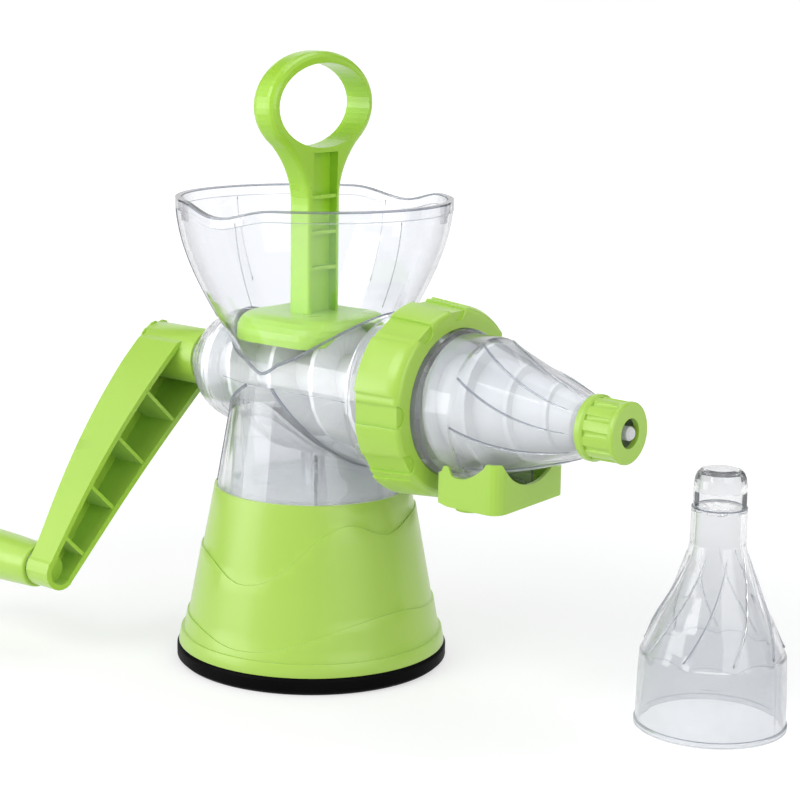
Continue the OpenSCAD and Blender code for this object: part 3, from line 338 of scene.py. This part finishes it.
# ---------------------------------------------------------------- dressing the solids
DRESS = {
    "suction_foot": RUBBER, "suction_stem": WHITE, "base_skirt": LIME_SHELL, "skirt_deck": LIME,
    "deck_screws": STEEL, "stem_nut": WHITE, "press_body": CLEAR, "rear_bush": WHITE,
    "front_seal": SEAL, "shaft_seal": SEAL, "auger": AUGER, "drive_shaft": STEEL,
    "crank_arm": LIME, "crank_knob": LIME, "grip_washer": STEEL, "grip_bolt": STEEL,
    "crank_grip": LIME, "cone_cover": CLEAR_CONE, "lock_ring": LIME, "adjusting_cap": LIME,
    "outlet_tray": LIME, "pusher": LIME_PUSHER, "spare_cone": CLEAR_SPARE,
}
# Widths of the rounded edges, in millimetres.
SOFT_EDGES = {
    "base_skirt": 0.35, "crank_arm": 0.5, "crank_knob": 0.35, "crank_grip": 0.3, "lock_ring": 0.45,
    "adjusting_cap": 0.3, "outlet_tray": 0.45, "pusher": 0.45, "suction_foot": 0.3,
}
EDGE_ANGLE = 28
WELD_REACH = 0.02


def soften(o, width):
    weld = o.modifiers.new("weld", "WELD")
    weld.merge_threshold = WELD_REACH * MM
    bevel = o.modifiers.new("soft_edges", "BEVEL")
    bevel.width = width * MM
    bevel.segments = 2
    bevel.limit_method = "ANGLE"
    bevel.angle_limit = math.radians(EDGE_ANGLE)
    bevel.use_clamp_overlap = True
    bevel.harden_normals = False


def dress(o, mat):
    if not o.material_slots:
        o.data.materials.append(mat)
    for s in o.material_slots:
        s.link = "OBJECT"
        s.material = mat


for name, width in SOFT_EDGES.items():
    soften(N[name], width)
for name, mat in DRESS.items():
    dress(N[name], mat)

# ---------------------------------------------------------------- outlines of the clear walls, drawn dark as painted shade
AXIS_Z = 132.35

BARREL_R = 35.0
BARREL_FULL_X = -4.0
DOME_R = 26.9
DOME_X = -40.7

HOPPER_R = 62.5
HOPPER_FOOT_R = BARREL_R - 0.5
HOPPER_Z0 = 143.0
HOPPER_TOP = 215.0
HOPPER_FLARE = 1.1
RIM_R = 62.3
MOUTH_DIP = 4.8
MOUTH_DIP_REACH = 28.0
# a height at which the hopper's wall is well clear of the barrel, and the same for the column
HOPPER_CLEAR_Z = 170.0
COLUMN_CLEAR_Z = 90.0

COLUMN_R = 44.4
COLUMN_FOOT_Z = 81.2
COLUMN_LEAN = 0.17
POST_LINE_R = 4.6

CONE_X0 = 105.0
CONE_X1 = 157.0
CONE_R = 31.0
CONE_TIP_R = 12.7
CONE_BOW = 0.93

# Height and radius up the spare cone.
SPARE = ((33.0, 31.2), (37.0, 28.9), (46.0, 25.3), (53.5, 21.5), (60.0, 18.5), (68.0, 15.5),
         (74.5, 13.2), (80.0, 12.0))
SPARE_PLACE = (190.7, 47.2)

# How far a line stands proud of its wall.
PROUD = 0.05
SLIGHTLY_PROUD = 0.02

# Radii of the beads and lines.
HOPPER_SADDLE_R = 0.75
COLUMN_SADDLE_R = 0.8
RIM_BEAD_R = 0.5
LIP_LINE_R = 0.22
MOULD_LINE_R = 0.24
PARTING_LINE_R = 0.2
POST_EDGE_R = 0.6
SIDE_LINE_R = 0.5
CONE_RIB_START_R = 0.5
CONE_RIB_END_R = 0.16
SPARE_RIB_START_R = 0.42
SPARE_RIB_END_R = 0.10
SPARE_STEP_R = 0.26
SPARE_FOOT_R = 0.22
SPARE_SHOULDER_R = 0.35


def clamped(t):
    return min(1.0, max(0.0, t))


def ease(t):
    return (1 - math.cos(math.pi * clamped(t))) / 2


def barrel_out(x):
    if x < DOME_X:
        return math.sqrt(max(1.0, DOME_R ** 2 - (x - DOME_X) ** 2))
    return DOME_R + (BARREL_R - DOME_R) * ease((x - DOME_X) / (BARREL_FULL_X - DOME_X))


def cone_out(x):
    t = clamped((x - CONE_X0) / (CONE_X1 - CONE_X0))
    return CONE_R - (CONE_R - CONE_TIP_R) * t ** CONE_BOW


def spare_out(z):
    for (z0, r0), (z1, r1) in zip(SPARE, SPARE[1:]):
        if z <= z1:
            return r0 + (r1 - r0) * max(0.0, z - z0) / (z1 - z0)
    return SPARE[-1][1]


def hopper_out(z):
    t = clamped((z - HOPPER_Z0) / (HOPPER_TOP - HOPPER_Z0))
    return HOPPER_FOOT_R + (HOPPER_R - HOPPER_FOOT_R) * math.sin(math.pi / 2 * t) ** HOPPER_FLARE


def column_out(z):
    return COLUMN_R - COLUMN_LEAN * (z - COLUMN_FOOT_Z)


def mouth_z(angle):
    """Height of the scooped mouth, which dips across the middle."""
    x = RIM_R * math.cos(angle)
    return HOPPER_TOP - MOUTH_DIP * ease(1 - min(1.0, abs(x) / MOUTH_DIP_REACH))


# ---------------------------------------------------------------- paths for the beads
def around(count):
    return [FULL_TURN * i / count for i in range(count)]


def between(start, end, steps):
    return [start + (end - start) * k / steps for k in range(steps + 1)]


def at(angle, r, z):
    return (r * math.cos(angle), r * math.sin(angle), z)


def spare_at(angle, r, z):
    return (SPARE_PLACE[0] + r * math.cos(angle), SPARE_PLACE[1] + r * math.sin(angle), z)


def up_wall(profile, angle, heights, proud):
    return [at(angle, profile(z) + proud, z) for z in heights]


def meet(profile, angle, z_in, z_out):
    """Point where an upright turned wall leaves the barrel, by bisection."""
    def outside(z):
        x, y, _ = at(angle, profile(z), z)
        return (z - AXIS_Z) ** 2 + y ** 2 > barrel_out(x) ** 2
    if outside(z_in):
        return None
    for _ in range(40):
        mid = (z_in + z_out) / 2
        z_in, z_out = (z_in, mid) if outside(mid) else (mid, z_out)
    return at(angle, profile(z_in), z_in)


def arcs(profile, z_in, z_out, steps=220, shortest=4):
    """The runs of points where an upright wall meets the barrel."""
    runs, current = [], []
    for i in range(steps + 1):
        p = meet(profile, FULL_TURN * i / steps - math.pi, z_in, z_out)
        if p:
            current.append(p)
        if (p is None or i == steps) and current:
            if len(current) >= shortest:
                runs.append(current)
            current = []
    return runs


def bead(name, points, radius, mat, body, closed=False, sides=6, thin=None):
    """A thin bead along points in millimetres, even or thinner towards its end."""
    pts = [Vector(p) for p in points]
    count = len(pts)
    verts, faces = [], []
    guide = None
    for i, p in enumerate(pts):
        before = pts[(i - 1) % count] if closed or i else p
        after = pts[(i + 1) % count] if closed or i < count - 1 else p
        along = (after - before).normalized()
        if guide is None:
            guide = along.orthogonal()
        guide = (guide - along * guide.dot(along)).normalized()
        other = along.cross(guide)
        size = radius if thin is None else radius + (thin - radius) * i / (count - 1)
        for t in around(sides):
            verts.append((p + (guide * math.cos(t) + other * math.sin(t)) * size) * MM)
    for i in range(count if closed else count - 1):
        j = (i + 1) % count
        for k in range(sides):
            m = (k + 1) % sides
            faces.append((i * sides + k, i * sides + m, j * sides + m, j * sides + k))
    if not closed:
        faces.append(tuple(reversed(range(sides))))
        faces.append(tuple((count - 1) * sides + k for k in range(sides)))
    me = bpy.data.meshes.new(name)
    me.from_pydata([tuple(v) for v in verts], [], faces)
    me.materials.append(mat)
    for poly in me.polygons:
        poly.use_smooth = len(poly.vertices) == 4
    o = bpy.data.objects.new(name, me)
    bpy.context.scene.collection.objects.link(o)
    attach(o, body)


# ---------------------------------------------------------------- moulding details, drawn as dark lines of painted shade
def saddle_beads():
    """The moulded joints where hopper and column grow out of the barrel, as dark beads of painted shade.
    """
    saddle = [meet(hopper_out, a, AXIS_Z, HOPPER_CLEAR_Z) for a in around(160)]
    bead("hopper_saddle_bead", [p for p in saddle if p], HOPPER_SADDLE_R, SHADE_BEAD, "base", closed=True)
    just_below_axis = AXIS_Z - 0.01
    for i, pts in enumerate(arcs(column_out, just_below_axis, COLUMN_CLEAR_Z)):
        bead("column_saddle_bead_%d" % i, pts, COLUMN_SADDLE_R, SHADE_BEAD, "base")


def mouth_beads():
    # The rim bead is dark, painted shade; the lip line below it is tinted darker as painted shade.
    rim = [at(a, RIM_R, mouth_z(a) - 0.9 * RIM_BEAD_R) for a in around(200)]
    bead("hopper_rim_bead", rim, RIM_BEAD_R, SHADE_BEAD, "base", closed=True)
    lip_drop = 5.0
    lip = []
    for a in around(160):
        z = mouth_z(a) - lip_drop
        lip.append(at(a, hopper_out(z) + PROUD, z))
    bead("hopper_lip_line", lip, LIP_LINE_R, FINE_SHADE, "base", closed=True)


def hopper_mould_lines():
    # Fine mould lines up the hopper, tinted darker as painted shade.
    foot_z, scoop_z, corner_z = 171.0, 208.5, 209.5
    ends = ((-80.3, scoop_z), (-10.2, corner_z), (99.7, scoop_z), (169.8, corner_z))
    for i, (deg, top) in enumerate(ends):
        pts = up_wall(hopper_out, math.radians(deg), between(foot_z, top, 12), SLIGHTLY_PROUD)
        bead("hopper_mould_line_%d" % i, pts, MOULD_LINE_R, FINE_SHADE, "base")


def post_lines():
    # Dark lines of painted shade up the post, four around it.
    foot_z, top_z, first_angle = 84.0, 96.0, 40.5
    for i in range(4):
        a = math.radians(first_angle + 90 * i)
        pts = [at(a, POST_LINE_R, z) for z in between(foot_z, top_z, 4)]
        bead("post_line_%d" % i, pts, POST_EDGE_R, DEEP_SHADE, "base")


def side_lines():
    """Edges at the two sides of the hopper and of the column, drawn dark as painted shade."""
    hopper_foot_z, mouth_gap = 160.0, 1.5
    for i, deg in enumerate((45.0, 225.0)):
        a = math.radians(deg)
        pts = up_wall(hopper_out, a, between(hopper_foot_z, mouth_z(a) - mouth_gap, 20), PROUD)
        bead("hopper_corner_line_%d" % i, pts, SIDE_LINE_R, DEEP_SHADE, "base")
    column_foot_z = 82.5
    for i, deg in enumerate((42.0, 219.0)):
        a = math.radians(deg)
        _, _, top = meet(column_out, a, AXIS_Z, COLUMN_CLEAR_Z)
        pts = up_wall(column_out, a, between(column_foot_z, top, 12), PROUD)
        bead("column_side_line_%d" % i, pts, SIDE_LINE_R, DEEP_SHADE, "base")


def barrel_lines():
    # Parting lines along the barrel, tinted darker as painted shade.
    rear_x, front_x = -30.0, 51.0
    for label, side in (("near", -1), ("far", 1)):
        pts = [(x, side * (barrel_out(x) + SLIGHTLY_PROUD), AXIS_Z) for x in between(rear_x, front_x, 27)]
        bead("barrel_parting_line_%s" % label, pts, PARTING_LINE_R, FINE_SHADE, "base")


def cone_rib_lines():
    """One dark line of painted shade along the edge of each spiral rib, thick at the ring and thin at the
    tip.
    """
    ribs = 9
    rib_x0, rib_x1, steps = 103.5, 155.0, 24
    first_angle, rib_twist, twist_power = 34.2, 41.0, 1.4
    for i in range(ribs):
        pts = []
        for x in between(rib_x0, rib_x1, steps)[1:-1]:
            t = (x - rib_x0) / (rib_x1 - rib_x0)
            twist = rib_twist * (1 - (1 - t) ** twist_power)
            a = math.radians(360 / ribs * i + first_angle + twist)
            r = cone_out(x) + PROUD
            pts.append((x, r * math.sin(a), AXIS_Z - r * math.cos(a)))
        bead("cone_rib_line_%d" % i, pts, CONE_RIB_START_R, SHADE_BEAD, "base", thin=CONE_RIB_END_R)


def spare_lines():
    # Rib, step, foot and shoulder lines of the spare cone, tinted dark as painted shade.
    ribs = 9
    rib_z0, rib_z1 = 34.5, 75.5
    twist_per_mm, lag = 1.0, 36.0
    for i in range(ribs):
        pts = []
        for z in between(rib_z0, rib_z1, 20):
            a = math.radians(360 / ribs * i + twist_per_mm * z - lag)
            pts.append(spare_at(a, spare_out(z) + PROUD, z))
        mat = SHADE_BEAD if i % 3 == 1 else FINE_SHADE
        bead("spare_rib_line_%d" % i, pts, SPARE_RIB_START_R, mat, "spare", thin=SPARE_RIB_END_R)
    step_z, step_wave, wall = 31.0, 2.6, 2.35
    step = []
    for a in around(180):
        z = step_z + step_wave * abs(math.sin(ribs / 2 * a))
        step.append(spare_at(a, spare_out(z) - wall, z))
    bead("spare_step_line", step, SPARE_STEP_R, FINE_SHADE, "spare", closed=True)
    foot_r, foot_z = 32.35, 2.3
    foot = [spare_at(a, foot_r, foot_z) for a in around(120)]
    bead("spare_foot_line", foot, SPARE_FOOT_R, SHADE_BEAD, "spare", closed=True)
    shoulder_r, shoulder_z = 11.55, 96.0
    shoulder = [spare_at(a, shoulder_r, shoulder_z) for a in around(90)]
    bead("spare_shoulder_line", shoulder, SPARE_SHOULDER_R, SHADE_BEAD, "spare", closed=True)


saddle_beads()
mouth_beads()
hopper_mould_lines()
cone_rib_lines()
post_lines()
side_lines()
barrel_lines()
spare_lines()

# ---------------------------------------------------------------- stage
AIM = (0.02, 0, 0.12)
FLOOR_SIZE = 40
FLOOR_DROP = 0.0002
SHADOW_REACH = 0.20
WHITE_REACH = 0.55
NEAR_WHITE = 0.5
CARD_GREY = 0.02


def floor_material():
    """Lit like paper near the object and plain white farther off, as the camera sees it."""
    m, nt, out = new_mat("floor")
    geo = add(nt, "ShaderNodeNewGeometry")
    length = add(nt, "ShaderNodeVectorMath", operation="LENGTH")
    nt.links.new(geo.outputs["Position"], length.inputs[0])
    fade = add(nt, "ShaderNodeMapRange")
    put(fade, From_Min=SHADOW_REACH, From_Max=WHITE_REACH, To_Min=NEAR_WHITE)
    nt.links.new(length.outputs["Value"], fade.inputs["Value"])
    paper = add(nt, "ShaderNodeBsdfDiffuse")
    put(paper, Color=grey(0.93))
    white = add(nt, "ShaderNodeEmission")
    put(white, Color=grey(1), Strength=1.15)
    share = scaled(nt, fade.outputs["Result"], seen_or_mirrored(nt))
    surface = mixed(nt, share, paper.outputs["BSDF"], white.outputs["Emission"])
    nt.links.new(surface, out.inputs["Surface"])
    return m


def plane(name, width, depth, place, mat):
    me = bpy.data.meshes.new(name)
    h, k = width / 2, depth / 2
    me.from_pydata([(-h, -k, 0), (h, -k, 0), (h, k, 0), (-h, k, 0)], [], [(0, 1, 2, 3)])
    me.materials.append(mat)
    o = bpy.data.objects.new(name, me)
    bpy.context.scene.collection.objects.link(o)
    o.location = place
    return o


def face_object(o, front):
    o.rotation_mode = "QUATERNION"
    o.rotation_quaternion = (Vector(AIM) - Vector(o.location)).to_track_quat(front, "Y")


def card(name, width, depth, place, glow=0.0):
    """A dark or glowing card beside the set, seen only in gloss."""
    m, nt, out = new_mat(name)
    if glow:
        d = add(nt, "ShaderNodeEmission")
        put(d, Strength=glow)
    else:
        d = add(nt, "ShaderNodeBsdfDiffuse")
        put(d, Color=grey(CARD_GREY))
    nt.links.new(d.outputs[0], out.inputs["Surface"])
    o = plane(name, width, depth, place, m)
    face_object(o, "Z")
    o.visible_camera = False
    o.visible_diffuse = False
    o.visible_shadow = False
    o.visible_transmission = False


def world():
    """Soft light all round, white where it is seen or mirrored."""
    w = bpy.data.worlds.new("studio")
    bpy.context.scene.world = w
    w.use_nodes = True
    nt = w.node_tree
    nt.nodes.clear()
    out = add(nt, "ShaderNodeOutputWorld")
    soft = add(nt, "ShaderNodeBackground")
    put(soft, Color=(0.95, 0.97, 1.0, 1), Strength=0.42)
    white = add(nt, "ShaderNodeBackground")
    put(white, Color=grey(1), Strength=1.0)
    surface = mixed(nt, seen_or_mirrored(nt), soft.outputs["Background"], white.outputs["Background"])
    nt.links.new(surface, out.inputs["Surface"])


def lamp(name, place, size, power):
    d = bpy.data.lights.new(name, "AREA")
    d.shape = "SQUARE"
    d.size = size
    d.energy = power
    o = bpy.data.objects.new(name, d)
    bpy.context.scene.collection.objects.link(o)
    o.location = place
    face_object(o, "-Z")


floor = plane("floor", FLOOR_SIZE, FLOOR_SIZE, (0, 0, -FLOOR_DROP), floor_material())
world()
lamp("key", (-0.25, -1.05, 1.05), 0.7, 6.8)
lamp("low", (-0.60, -0.95, 0.22), 0.7, 5.0)
lamp("fill", (1.1, -0.25, 0.55), 0.8, 3.9)
lamp("top", (0.1, 0.35, 1.3), 0.9, 3.8)
card("card_left", 0.45, 1.8, (-1.0, 0.05, 0.35))
card("card_right", 0.45, 1.8, (0.05, 1.0, 0.35))
card("soft_left", 0.9, 1.3, (-1.05, -0.66, 0.45), glow=1.35)
card("card_far_right", 0.3, 1.6, (0.85, 0.75, 0.4))
card("card_over", 1.2, 0.35, (-0.55, 0.62, 1.0))
